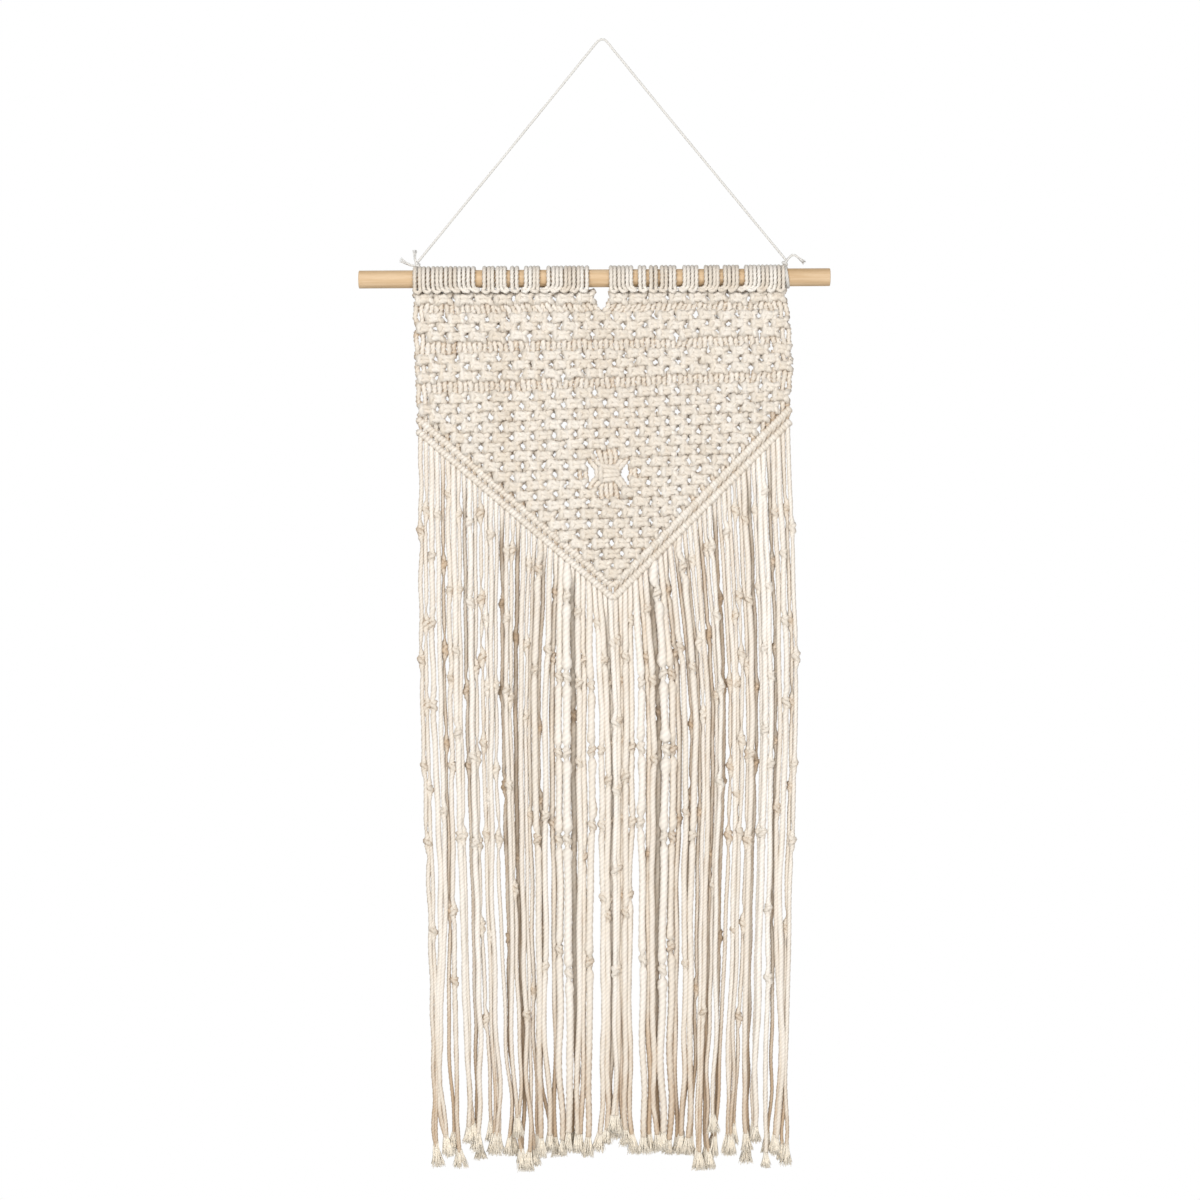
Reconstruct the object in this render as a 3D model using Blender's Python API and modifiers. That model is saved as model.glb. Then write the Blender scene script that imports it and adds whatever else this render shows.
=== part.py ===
"""Macrame wall hanging. A wooden dowel hangs from a thin cord and carries 36 doubled cotton cords on
lark's head knots. The cords are knotted into a panel that ends in a V, and below the V they hang
free as a long fringe with overhand knots. Metres, +Z up. The front faces -Y, the dowel lies along
X, and the origin is the place where the wall hook holds the hanging cord."""

import math

import bmesh
import bpy
import numpy as np

# Driving dimensions, in metres
GAP = 0.0003  # clearance between neighbouring pieces
CORD = 0.0036  # cotton cord of the knotting
HANGER = 0.0022  # hanging cord

DOWEL_LENGTH = 0.424
DOWEL_RADIUS = 0.008
DOWEL_ROUNDING = 0.0008
DOWEL_X = -0.0068  # it sticks out further on the left
DOWEL_Z = -0.2163

TIE_X = 0.1680
TIE_KNOT = 0.0026  # radius of the hanging cord's knot
TAIL = 0.0018

BARS_Z = DOWEL_Z - 0.0119  # the row of bars that close the lark's heads
BARS_RADIUS, BARS_GROOVE = 0.0032, 0.0026
BARS_DEPTH = 1.4  # their depth over their height
STRAND_GROOVE = 0.0009

PANEL_HALF_WIDTH = 0.1700
PANEL_COLUMNS = 35  # half a knot wide each
PANEL_BACK = 0.0026
EDGE_SCALLOP = 0.0030
GATHER_X, GATHER_Z, GATHER_RADIUS, GATHER_RISE = 0.0063, -0.3940, 0.0130, 0.0016

# The V's seam, between its two rows of diagonal hitches, as (x, z)
V_LEFT, V_TIP, V_RIGHT = (-0.1656, -0.3483), (0.0099, -0.4986), (0.1692, -0.3391)
HITCH_RADIUS, HITCH_GROOVE = 0.0038, 0.0031
HITCH_OFFSET = 0.0042  # from the seam to the middle of each row

CORDS_A_SIDE = 36
FRINGE_MID = 0.01125  # the halves of the fringe mirror each other about this x
RIGHT_SHARE, RIGHT_LOSS = 1.03, 0.5  # the right half hangs closer, more so further out
RIGHT_RISE = 0.0027  # and its knots sit higher
STRAND, STRAND_REACH = 0.0036, 0.0016  # a strand's width, and its reach to front and back
LAYER = 0.0024  # the strands hang in two layers, this far before and behind the middle
KNOT, KNOT_REACH, KNOT_INNER = 0.0066, 0.0037, 0.0019
KNOT_HEIGHT = 0.0080
KNOTS_A_CORD = 2  # the others are too many to raise here
BRUSH, BRUSH_HEIGHT = 0.0052, 0.0140  # the frayed end of a cord
ROOM = 0.0004  # kept free between a knot and what hangs beside it

# Groups of lark's heads on the dowel, in mm: start, end, heads
HEADS = {
    "left": [
        (-165.6, -113.4, 7),
        (-107.4, -85.0, 3),
        (-82.4, -74.9, 1),
        (-70.2, -55.5, 2),
        (-49.5, -12.0, 5),
    ],
    "right": [
        (6.3, 27.8, 3),
        (32.4, 39.4, 1),
        (42.7, 49.7, 1),
        (52.7, 66.4, 2),
        (72.6, 86.3, 2),
        (92.0, 105.8, 2),
        (109.2, 122.9, 2),
        (128.0, 164.7, 5),
    ],
}

# Relief of the panel's front by kind of row: y in mm at a knot's place and between knots
RELIEF = {"knots": (-3.5, -1.2), "band": (-2.6, -1.7)}
# Rows of the panel down to the V, in mm below the hook
ROWS = [
    (231.7, "band"), (236.5, "knots"), (243.0, "band"), (252.0, "knots"), (260.1, "knots"),
    (268.2, "knots"), (278.5, "band"), (287.5, "knots"), (295.2, "knots"), (303.3, "knots"),
    (314.0, "band"),
]  # fmt: skip
ROWS += [(325.8 + 8.82 * row, "knots") for row in range(20)]

# Openings of the panel, as outlines in mm (x, z): the slit under the dowel and the two
# crescents beside the gathered motif
OPENINGS = {
    "slit": [(-5.0, -230.0), (3.4, -230.0), (-0.5, -242.0)],
    "crescent_left": [
        (-15.3, -382.5), (-12.6, -391.5), (-12.2, -398.7), (-9.0, -401.4), (-5.9, -395.1),
        (-6.3, -389.7), (-10.4, -384.3),
    ],
    "crescent_right": [
        (26.1, -379.8), (20.7, -384.3), (18.5, -391.5), (20.3, -397.8), (24.8, -402.3),
        (25.2, -392.4),
    ],
}  # fmt: skip

# Route of the hanging cord, in mm (x, z), from the left tie over the hook to the right tie
HANGER_ROUTE = [
    (-166.1, -201.2), (-146.6, -177.5), (-124.3, -150.2), (-102.1, -123.2), (-80.0, -96.3),
    (-58.0, -69.3), (-36.0, -42.4), (-16.6, -18.5), (-8.4, -8.4), (-4.6, -3.9),
    (-1.9, -1.7), (0.4, -1.1), (2.7, -1.8), (5.2, -4.3), (9.0, -9.1),
    (17.0, -18.9), (36.2, -42.5), (58.1, -69.4), (80.1, -96.3), (102.1, -123.2),
    (124.3, -150.3), (146.6, -177.6), (166.1, -201.3),
]  # fmt: skip

# Loose tails of the two ties, in mm (x, z)
TAILS = {
    "left": [
        [(-168.6, -203.4), (-172.5, -203.9), (-176.5, -202.6), (-179.4, -200.8)],
        [(-168.6, -203.0), (-170.0, -198.6), (-169.0, -194.5), (-168.2, -191.4)],
    ],
    "right": [
        [(168.6, -203.0), (168.8, -197.6), (171.6, -194.3), (176.2, -196.4), (181.0, -200.8)],
    ],
}

# The left half of the fringe, in mm, a row for each cord from the outer edge inwards. The first
# four columns say how far from the middle it hangs at the three LEVELS and at its tip. Then come
# the depth of its tip and of its overhand knots, below the hook.
LEVELS = (596, 776, 956)
FRINGE = [
    (172.8, 166.5, 162.5, 163.4, 1016, (444, 560, 656, 725)),
    (168.8, 163.4, 159.8, 158.9, 1014, (426, 528, 600, 676, 804)),
    (162.9, 156.2, 157.5, 153.5, 1008, (467, 527, 602)),
    (156.2, 152.1, 155.7, 149.0, 1005, (430, 696)),
    (152.6, 148.5, 147.2, 148.5, 1006, (474, 551, 635, 788)),
    (147.2, 144.9, 141.8, 141.8, 1021, (412, 497, 577, 656, 785, 849)),
    (141.8, 136.8, 131.4, 130.0, 998, (552, 626, 721)),
    (138.2, 134.1, 129.6, 127.4, 996, (429, 497, 716)),
    (132.8, 127.4, 124.2, 122.9, 1015, (587, 656)),
    (128.3, 123.8, 121.0, 120.2, 1004, (436, 509, 646, 723)),
    (124.2, 120.6, 112.0, 111.2, 996, (568, 649, 727, 800, 884)),
    (118.4, 113.9, 108.5, 107.6, 1007, (428, 505, 558, 635, 717)),
    (114.3, 111.2, 105.8, 104.9, 1008, (523, 584, 684, 806)),
    (110.7, 109.8, 104.4, 101.6, 1006, (448,)),
    (106.7, 103.0, 95.0, 94.0, 1008, (583, 659, 721)),
    (100.4, 95.9, 92.7, 90.5, 1010, (509, 590, 675, 811)),
    (97.2, 92.3, 90.5, 87.8, 990, (460, 523, 586, 671)),
    (93.6, 89.6, 84.6, 85.1, 1021, (464, 595, 766)),
    (89.1, 86.4, 81.9, 81.5, 1020, (540, 738)),
    (84.2, 82.4, 77.9, 75.2, 1021, (880,)),
    (79.7, 78.3, 75.2, 71.5, 1020, (473, 546, 612)),
    (76.1, 74.3, 70.7, 68.9, 1008, (700, 858)),
    (72.0, 68.0, 67.1, 67.1, 1008, (479, 569, 721)),
    (68.4, 64.4, 64.4, 63.9, 1006, (622, 687, 800)),
    (61.7, 62.6, 60.8, 57.2, 1006, (551, 700, 836)),
    (56.3, 54.5, 52.7, 55.4, 1008, (500, 558, 707)),
    (50.9, 50.0, 49.5, 51.8, 1010, (574, 641, 721, 821)),
    (46.4, 45.0, 45.5, 47.3, 1003, (503, 577)),
    (42.8, 41.0, 40.0, 41.0, 1003, (646, 723, 842)),
    (38.3, 36.0, 37.4, 38.3, 1004, (610,)),
    (32.0, 31.0, 33.8, 34.7, 1005, (517, 581, 652)),
    (28.4, 27.5, 30.2, 31.1, 1005, (560, 737)),
    (23.9, 24.3, 25.7, 24.8, 1007, (583, 739)),
    (20.3, 21.2, 23.0, 21.2, 1005, (527, 642, 709, 833)),
    (12.2, 11.7, 10.4, 13.0, 992, (581, 635, 705, 775, 842)),
    (6.8, 5.9, 5.4, 5.9, 988, (545, 617, 678, 750, 839)),
]

# Finishes: colour, roughness
FINISHES = {
    "cotton_cord": ((0.76, 0.69, 0.58, 1), 0.92),
    "dowel_wood": ((0.72, 0.50, 0.29, 1), 0.55),
    "hanging_string": ((0.78, 0.73, 0.64, 1), 0.90),
}
MM = 0.001
SIXTHS = [math.pi / 6 + math.pi / 3 * corner for corner in range(6)]  # corners of a hexagon


# Scene, materials and joining


def clear_scene():
    for obj in list(bpy.data.objects):
        bpy.data.objects.remove(obj, do_unlink=True)


def new_collection(name):
    collection = bpy.data.collections.new(name)
    bpy.context.scene.collection.children.link(collection)
    return collection


def new_material(name, colour, roughness):
    material = bpy.data.materials.new(name)
    material.use_nodes = True
    shader = material.node_tree.nodes["Principled BSDF"]
    shader.inputs["Base Color"].default_value = colour
    shader.inputs["Roughness"].default_value = roughness
    shader.inputs["Metallic"].default_value = 0.0
    return material


def add_piece(name, data, material):
    """A sub-part: it takes the mesh or curve and gets its own material."""
    obj = bpy.data.objects.new(name, data)
    colour, roughness = FINISHES[material]
    data.materials.append(new_material(f"{name}_{material}", colour, roughness))
    hanging.objects.link(obj)
    return obj


def add_helper(name, mesh):
    """A solid that another object is joined with or cut by."""
    obj = bpy.data.objects.new(name, mesh)
    obj.hide_render = True
    obj.display_type = "WIRE"
    cutters.objects.link(obj)
    return obj


def combine(obj, helper, operation):
    modifier = obj.modifiers.new(helper.name, "BOOLEAN")
    modifier.operation = operation
    modifier.solver = "EXACT"
    modifier.object = helper


def to_mesh(name, bm):
    """The finished mesh, with its faces pointing outwards."""
    bmesh.ops.recalc_face_normals(bm, faces=bm.faces)
    mesh = bpy.data.meshes.new(name)
    bm.to_mesh(mesh)
    bm.free()
    return mesh


def loft(bm, sections):
    """A closed solid through sections of equal size. Returns its side faces, a list a step."""
    rings = [[bm.verts.new(point) for point in section] for section in sections]
    sides = []
    for near, far in zip(rings, rings[1:]):
        turned = zip(near, near[1:] + near[:1], far[1:] + far[:1], far)
        sides.append([bm.faces.new(corners) for corners in turned])
    bm.faces.new(rings[0])
    bm.faces.new(rings[-1])
    return sides


def prism(name, outline, half_depth):
    """An outline in mm (x, z), carried from front to back."""
    bm = bmesh.new()
    loft(bm, [[(x * MM, y, z * MM) for x, z in outline] for y in (-half_depth, half_depth)])
    return to_mesh(name, bm)


def tube(name, route, radii, sides):
    """A closed tube along a route of (x, z) in metres, with a radius for each of its points."""
    along = np.gradient(route, axis=0)
    along /= np.linalg.norm(along, axis=1)[:, None]
    turns = [2 * math.pi * corner / sides for corner in range(sides)]
    sections = []
    for (x, z), (tx, tz), radius in zip(route, along, radii, strict=True):
        out = [(radius * math.cos(a), radius * math.sin(a)) for a in turns]
        sections.append([(x - tz * across, y, z + tx * across) for across, y in out])
    bm = bmesh.new()
    loft(bm, sections)
    return to_mesh(name, bm)


def smooth_route(points, step):
    """Points about a step apart along a smooth curve through the route's own points."""
    p = np.array(points, float)
    p = np.vstack([2 * p[0] - p[1], p, 2 * p[-1] - p[-2]])
    t = np.linspace(0, 1, 24, endpoint=False)[:, None]
    curve = [
        0.5 * (2 * b + (c - a) * t + (2 * a - 5 * b + 4 * c - d) * t**2 + (3 * b - a - 3 * c + d) * t**3)
        for a, b, c, d in zip(p, p[1:], p[2:], p[3:])
    ]
    curve = np.vstack([*curve, p[-2:-1]])
    run = np.concatenate([[0], np.cumsum(np.linalg.norm(np.diff(curve, axis=0), axis=1))])
    even = np.linspace(0, run[-1], round(run[-1] / step) + 1)
    return np.stack([np.interp(even, run, curve[:, i]) for i in range(2)], axis=1)


# Dowel


def make_dowel():
    bpy.ops.mesh.primitive_cylinder_add(
        vertices=32,
        radius=DOWEL_RADIUS,
        depth=DOWEL_LENGTH,
        location=(DOWEL_X, 0, DOWEL_Z),
        rotation=(0, math.pi / 2, 0),
    )
    made = bpy.context.object
    dowel = add_piece("dowel", made.data, "dowel_wood")
    dowel.matrix_world = made.matrix_world.copy()
    bpy.data.objects.remove(made)
    rounding = dowel.modifiers.new("rounded_ends", "BEVEL")
    rounding.width = DOWEL_ROUNDING
    rounding.segments = 2
    rounding.limit_method = "ANGLE"
    rounding.angle_limit = math.radians(40)
    dowel.data.shade_smooth()
    dowel.data.set_sharp_from_angle(angle=math.radians(40))


# Hanging cord and its ties


def make_hanging_cord():
    route = smooth_route(HANGER_ROUTE, 3 * HANGER / MM) * MM
    curve = bpy.data.curves.new("hanging_cord", "CURVE")
    curve.dimensions = "3D"
    spline = curve.splines.new("POLY")
    spline.points.add(len(route) - 1)
    for point, (x, z) in zip(spline.points, route, strict=True):
        point.co = (x, 0, z, 1)
    curve.bevel_depth = HANGER / 2
    curve.bevel_resolution = 2
    curve.use_fill_caps = True
    add_piece("hanging_cord", curve, "hanging_string")


def tie_ring(name, x):
    """The hanging cord's turn round the dowel, clear of the wood at the middle of each facet."""
    segments = 12
    bpy.ops.mesh.primitive_torus_add(
        major_segments=segments,
        minor_segments=5,
        major_radius=(DOWEL_RADIUS + GAP + HANGER / 2) / math.cos(math.pi / segments),
        minor_radius=HANGER / 2,
        location=(x, 0, DOWEL_Z),
        rotation=(0, math.pi / 2, 0),
    )
    made = bpy.context.object
    ring = add_piece(name, made.data, "hanging_string")
    ring.matrix_world = made.matrix_world.copy()
    bpy.data.objects.remove(made)
    return ring


def make_tie(side, x):
    tie = tie_ring(f"tie_{side}", x)
    knot = bmesh.new()
    bmesh.ops.create_icosphere(knot, subdivisions=2, radius=TIE_KNOT)
    top = DOWEL_Z + DOWEL_RADIUS + GAP + HANGER
    bmesh.ops.translate(knot, verts=knot.verts, vec=(x, 0, top + TIE_KNOT - HANGER / 5))
    combine(tie, add_helper(f"tie_knot_{side}", to_mesh("tie_knot", knot)), "UNION")
    for number, tail in enumerate(TAILS[side]):
        route = smooth_route(tail, 3) * MM
        radii = np.full(len(route), TAIL / 2)
        radii[-1] *= 1.5
        mesh = tube("tie_tail", route, radii, 5)
        combine(tie, add_helper(f"tie_tail_{side}_{number}", mesh), "UNION")


# Lark's heads


def head_rings(groups):
    """The cords' turns round the dowel: a ribbed ring for each group of heads."""
    corner = 1 / math.cos(math.pi / 8)  # eight facets that clear the dowel
    inner = (DOWEL_RADIUS + GAP) * corner
    outer = (DOWEL_RADIUS + GAP + CORD) * corner
    bm = bmesh.new()
    for start, end, heads in groups:
        ribs = np.linspace(start, end, 4 * heads + 1) * MM
        profile = [(ribs[0], inner)]
        profile += [(x, outer - STRAND_GROOVE * (1 - i % 2)) for i, x in enumerate(ribs)]
        profile += [(ribs[-1], inner)]
        facets = [math.pi / 8 + i * math.pi / 4 for i in range(8)]
        sections = [
            [(x, r * math.sin(a), DOWEL_Z + r * math.cos(a)) for x, r in profile] for a in facets
        ]
        rings = [[bm.verts.new(point) for point in section] for section in sections]
        for near, far in zip(rings, rings[1:] + rings[:1]):
            for corners in zip(near, near[1:] + near[:1], far[1:] + far[:1], far):
                bm.faces.new(corners)
    return to_mesh("head_rings", bm)


def make_heading(side):
    """The row of bars that closes the heads, joined with their turns round the dowel."""
    groups = HEADS[side]
    ends = np.array([groups[0][0], groups[-1][1]]) * MM
    stations = np.linspace(*ends, CORDS_A_SIDE + 1)
    bm = bmesh.new()
    sections = []
    for number, x in enumerate(stations):
        radius = BARS_RADIUS if number % 2 else BARS_GROOVE
        sections.append(
            [(x, BARS_DEPTH * radius * math.cos(a), BARS_Z + radius * math.sin(a)) for a in SIXTHS]
        )
    loft(bm, sections)
    heading = add_piece(f"heading_{side}", to_mesh("heading_bars", bm), "cotton_cord")
    combine(heading, add_helper(f"head_rings_{side}", head_rings(groups)), "UNION")


# Knotted panel


def panel_relief(x, z, row, column):
    knot, hollow = RELIEF[ROWS[row][1]]
    rise = math.exp(-(((x - GATHER_X) ** 2 + (z - GATHER_Z) ** 2) / GATHER_RADIUS**2))
    return (hollow if (row + column) % 2 else knot) * MM - GATHER_RISE * rise


def panel_grid():
    """The panel's front, a point for each knot and for each place between knots."""
    bm = bmesh.new()
    lines = []
    for row, (depth, _) in enumerate(ROWS):
        edge = PANEL_HALF_WIDTH - EDGE_SCALLOP * (row % 2)
        places = np.linspace(-PANEL_HALF_WIDTH, PANEL_HALF_WIDTH, PANEL_COLUMNS + 1)
        places[0], places[-1] = -edge, edge
        z = -depth * MM
        lines.append(
            [bm.verts.new((x, panel_relief(x, z, row, i), z)) for i, x in enumerate(places)]
        )
    for upper, lower in zip(lines, lines[1:]):
        for corners in zip(upper, upper[1:], lower[1:], lower):
            bm.faces.new(corners)
    return bm


def seam_normal(outer):
    """Unit normal of one arm of the seam in the (x, z) plane, pointing up to the panel."""
    dx, dz = V_TIP[0] - outer[0], V_TIP[1] - outer[1]
    sign = math.copysign(1, dx)
    return -sign * dz / math.hypot(dx, dz), sign * dx / math.hypot(dx, dz)


def make_panel():
    bm = panel_grid()
    clearance = HITCH_OFFSET + HITCH_RADIUS + GAP
    for outer in (V_LEFT, V_RIGHT):
        nx, nz = seam_normal(outer)
        bmesh.ops.bisect_plane(
            bm,
            geom=bm.verts[:] + bm.edges[:] + bm.faces[:],
            plane_co=(V_TIP[0] + nx * clearance, 0, V_TIP[1] + nz * clearance),
            plane_no=(-nx, 0, -nz),
            clear_outer=True,
        )
    rim = [edge for edge in bm.edges if edge.is_boundary]
    back = bmesh.ops.extrude_edge_only(bm, edges=rim)["geom"]
    for vertex in back:
        if isinstance(vertex, bmesh.types.BMVert):
            vertex.co.y = PANEL_BACK
    bmesh.ops.edgeloop_fill(bm, edges=[e for e in bm.edges if e.is_boundary])
    panel = add_piece("panel", to_mesh("panel", bm), "cotton_cord")
    for name, outline in OPENINGS.items():
        combine(panel, add_helper(name, prism(name, outline, 0.012)), "DIFFERENCE")


# Rows of diagonal hitches and the fringe


def arm_stations(outer, places):
    """Stations along one arm of the V: x, the seam's z there and 1 / cos of the arm's slope."""
    dx, dz = V_TIP[0] - outer[0], V_TIP[1] - outer[1]
    steep = math.hypot(dx, dz) / abs(dx)
    return [(x, outer[1] + (x - outer[0]) * dz / dx, steep) for x in places]


def make_upper_hitches():
    """One ridged rope that follows the V above its seam."""
    hitches = CORDS_A_SIDE + 1
    left = arm_stations(V_LEFT, np.linspace(V_LEFT[0], V_TIP[0], hitches))
    right = arm_stations(V_RIGHT, np.linspace(V_TIP[0], V_RIGHT[0], hitches))
    sections = []
    for number, (x, z, steep) in enumerate(left + right[1:]):
        radius = HITCH_GROOVE if number % 2 else HITCH_RADIUS
        middle = z + HITCH_OFFSET * steep
        sections.append(
            [(x, radius * math.cos(a), middle + radius * steep * math.sin(a)) for a in SIXTHS]
        )
    bm = bmesh.new()
    loft(bm, sections)
    add_piece("hitch_bar", to_mesh("hitch_bar", bm), "cotton_cord")


def backing(bm, stations):
    """The hitches below the seam. Returns the two underside faces of each, front and back."""
    sections = []
    for number, (x, z, steep) in enumerate(stations):
        radius = HITCH_GROOVE if number % 2 else HITCH_RADIUS
        middle = z - HITCH_OFFSET * steep
        high, low = radius * steep, 0.5 * radius * steep
        outline = [(0, high), (-radius, low), (-radius, -low), (0, -low), (radius, -low), (radius, low)]
        sections.append([(x, y, middle + rise) for y, rise in outline])
    return [(faces[2], faces[3]) for faces in loft(bm, sections)]


def hang_x(side, out):
    """The x at which a cord hangs that is so far out from the fringe's middle, in mm."""
    out *= MM
    if side < 0:
        return FRINGE_MID - out
    return FRINGE_MID + out * (RIGHT_SHARE - RIGHT_LOSS * out)


def hitch_places(side, outer):
    """The x between one hitch and the next, each hitch straight above its cord of the fringe."""
    cords = np.array([hang_x(side, row[0]) for row in FRINGE])
    fit = (outer[0] - side * STRAND - V_TIP[0]) / (cords[0] - V_TIP[0])
    roots = V_TIP[0] + fit * (cords - V_TIP[0])
    return [outer[0], *(roots[1:] + roots[:-1]) / 2, V_TIP[0] + side * GAP / 2]


class Strand:
    """One cord of the fringe: where it hangs, and its knots."""

    def __init__(self, side, number, root):
        *outs, tip, knots = FRINGE[number]
        self.layer = -1 if number % 2 == 0 else 1
        self.tip = tip * MM
        self.root_depth = -root.z
        self.depths = [self.root_depth, *(level * MM for level in LEVELS), self.tip]
        self.places = [root.x, *(hang_x(side, out) for out in outs)]
        rise = RIGHT_RISE if side > 0 else 0
        self.knots = [knot * MM - rise for knot in knots[::2][:KNOTS_A_CORD]]

    def x(self, depth):
        return float(np.interp(depth, self.depths, self.places))

    def sections(self, beside):
        """Rows of depth, width, front reach and back reach, down to the tip."""
        plain = (STRAND, STRAND_REACH, STRAND_REACH)
        reaches = (KNOT_REACH, KNOT_INNER) if self.layer < 0 else (KNOT_INNER, KNOT_REACH)
        first = self.root_depth + KNOT_HEIGHT
        knots = [knot for knot in self.knots if knot - KNOT_HEIGHT > first]
        rows = [(first, *plain)]
        for level in self.depths[1:4]:
            if all(abs(level - knot) > 3 * KNOT_HEIGHT for knot in knots):
                rows.append((level, *plain))
        for knot in knots:
            room = 2 * min(abs(self.x(knot) - other.x(knot)) for other in beside) - STRAND
            rows.append((knot - KNOT_HEIGHT / 2, *plain))
            rows.append((knot, min(KNOT, room / 2 - ROOM), *reaches))
            rows.append((knot + KNOT_HEIGHT / 2, *plain))
        room = min(abs(self.x(self.tip) - other.x(self.tip)) for other in beside)
        rows.append((self.tip - BRUSH_HEIGHT, *plain))
        rows.append((self.tip, min(BRUSH, room - ROOM), STRAND_REACH, STRAND_REACH))
        return sorted(rows)


def grow_strand(bm, face, strand, beside):
    """Draws the strand down out of its underside face, with a three-sided section."""
    bmesh.ops.inset_individual(bm, faces=[face], thickness=ROOM)
    behind = sorted(face.verts, key=lambda vertex: vertex.co.y)[2:]
    middle = (behind[0].co + behind[1].co) / 2
    bmesh.ops.pointmerge(bm, verts=behind, merge_co=middle)
    y = strand.layer * LAYER
    for depth, width, front, back in strand.sections(beside):
        face = bmesh.ops.extrude_discrete_faces(bm, faces=[face])["faces"][0]
        x = strand.x(depth)
        left, right, apex = sorted(face.verts, key=lambda v: (v.co.y > middle.y - 1e-5, v.co.x))
        left.co = (x - width / 2, y - front, -depth)
        right.co = (x + width / 2, y - front, -depth)
        apex.co = (x, y + back, -depth)
        middle = apex.co.copy()


def make_fringe(side_name, side, outer):
    """The lower row of hitches on one arm of the V, with the cords that hang from it."""
    bm = bmesh.new()
    undersides = backing(bm, arm_stations(outer, hitch_places(side, outer)))
    faces = [pair[number % 2] for number, pair in enumerate(undersides)]
    roots = [face.calc_center_median() for face in faces]
    strands = [Strand(side, number, root) for number, root in enumerate(roots)]
    for number, (face, strand) in enumerate(zip(faces, strands, strict=True)):
        beside = strands[max(number - 2, 0) : number] + strands[number + 1 : number + 3]
        beside = [other for other in beside if other.layer == strand.layer]
        grow_strand(bm, face, strand, beside)
    add_piece(f"fringe_{side_name}", to_mesh("fringe", bm), "cotton_cord")


clear_scene()
hanging = new_collection("macrame_wall_hanging")
cutters = new_collection("cutters")
make_dowel()
make_hanging_cord()
make_tie("left", -TIE_X)
make_tie("right", TIE_X)
make_heading("left")
make_heading("right")
make_panel()
make_upper_hitches()
make_fringe("left", -1, V_LEFT)
make_fringe("right", 1, V_RIGHT)
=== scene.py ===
"""Macrame wall hanging on a wooden dowel. A thin cord holds the dowel, and 36 doubled cotton cords
are tied to it, knotted into a panel that ends in a V, and left as a long knotted fringe. Lengths
are in millimetres from the wall hook, and become metres where a mesh is made."""

import math

import bpy
import numpy as np
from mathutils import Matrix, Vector


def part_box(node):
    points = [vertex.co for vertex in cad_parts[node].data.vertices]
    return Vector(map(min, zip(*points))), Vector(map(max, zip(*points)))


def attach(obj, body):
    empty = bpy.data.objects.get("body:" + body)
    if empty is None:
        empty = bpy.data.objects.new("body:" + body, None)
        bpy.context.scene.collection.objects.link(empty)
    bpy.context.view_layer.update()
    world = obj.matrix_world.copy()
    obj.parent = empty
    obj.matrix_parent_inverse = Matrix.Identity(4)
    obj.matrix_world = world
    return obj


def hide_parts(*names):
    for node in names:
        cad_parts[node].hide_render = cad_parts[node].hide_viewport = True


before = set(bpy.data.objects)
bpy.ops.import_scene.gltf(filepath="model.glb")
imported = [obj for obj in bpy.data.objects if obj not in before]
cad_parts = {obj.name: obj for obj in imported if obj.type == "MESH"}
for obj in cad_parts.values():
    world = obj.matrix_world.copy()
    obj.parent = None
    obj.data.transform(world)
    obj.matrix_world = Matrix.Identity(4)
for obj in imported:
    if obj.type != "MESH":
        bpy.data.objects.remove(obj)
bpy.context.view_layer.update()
MM = 0.001
random = np.random.default_rng(11)

# Studio
# The hanging is seen straight on, in soft light from all round and from two large lamps in front: a
# key lamp high on the left and a weaker fill lamp low on the right. Far behind it a white wall fills
# the view, and a pale floor lies two metres under the wall hook.
VIEW_CENTRE = (-0.0018, -0.5058)  # x and z in metres
VIEW_WIDTH = 1.08  # metres across the view, in the plane of the hanging
LENS, SENSOR = 85, 36
FLOOR_Z, FLOOR_SIZE = -2.0, 8.0
ROOM_LIGHT = 0.38  # strength of the light beside the white wall, which itself has strength 1
WALL_EDGE = (0.88, 0.93)  # where the wall ends and where it is full, as cosines from straight back
LAMPS = {  # place, side of the square in metres, watts
    "key_lamp": ((-1.2, -2.3, 0.7), 1.4, 57),
    "fill_lamp": ((1.2, -2.5, -0.8), 1.8, 40),
}


def linear(hex_colour):
    """An sRGB colour such as "F4EAD8" as linear RGBA."""
    parts = [int(hex_colour[i : i + 2], 16) / 255 for i in (0, 2, 4)]
    return (*[c / 12.92 if c <= 0.04045 else ((c + 0.055) / 1.055) ** 2.4 for c in parts], 1.0)


def new_material(name, sockets):
    """A material whose Principled shader has these values. Returns it and the shader."""
    material = bpy.data.materials.new(name)
    material.use_nodes = True
    shader = material.node_tree.nodes["Principled BSDF"]
    for socket, value in sockets.items():
        shader.inputs[socket].default_value = value
    return material, shader


def add_node(material, kind, links=(), sockets=(), **settings):
    """A shader node with its settings, its sockets' values, and its sockets that others feed."""
    node = material.node_tree.nodes.new("ShaderNode" + kind)
    for name, value in settings.items():
        setattr(node, name, value)
    for socket, value in dict(sockets).items():
        node.inputs[socket].default_value = value
    for socket, source in dict(links).items():
        material.node_tree.links.new(source, node.inputs[socket])
    return node


def aim(obj, target):
    """Turns a lamp so that it shines at a point."""
    obj.rotation_euler = (Vector(target) - obj.location).to_track_quat("-Z", "Y").to_euler()


camera = bpy.data.objects.new("camera", bpy.data.cameras.new("camera"))
camera.data.lens, camera.data.sensor_width = LENS, SENSOR
camera.location = (VIEW_CENTRE[0], -VIEW_WIDTH * LENS / SENSOR, VIEW_CENTRE[1])
camera.rotation_euler = (math.pi / 2, 0, 0)
bpy.context.scene.collection.objects.link(camera)
bpy.context.scene.camera = camera

for name, (place, side, watts) in LAMPS.items():
    lamp = bpy.data.objects.new(name, bpy.data.lights.new(name, "AREA"))
    lamp.data.size, lamp.data.energy = side, watts
    lamp.location = place
    aim(lamp, (0, 0, VIEW_CENTRE[1]))
    bpy.context.scene.collection.objects.link(lamp)

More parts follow.
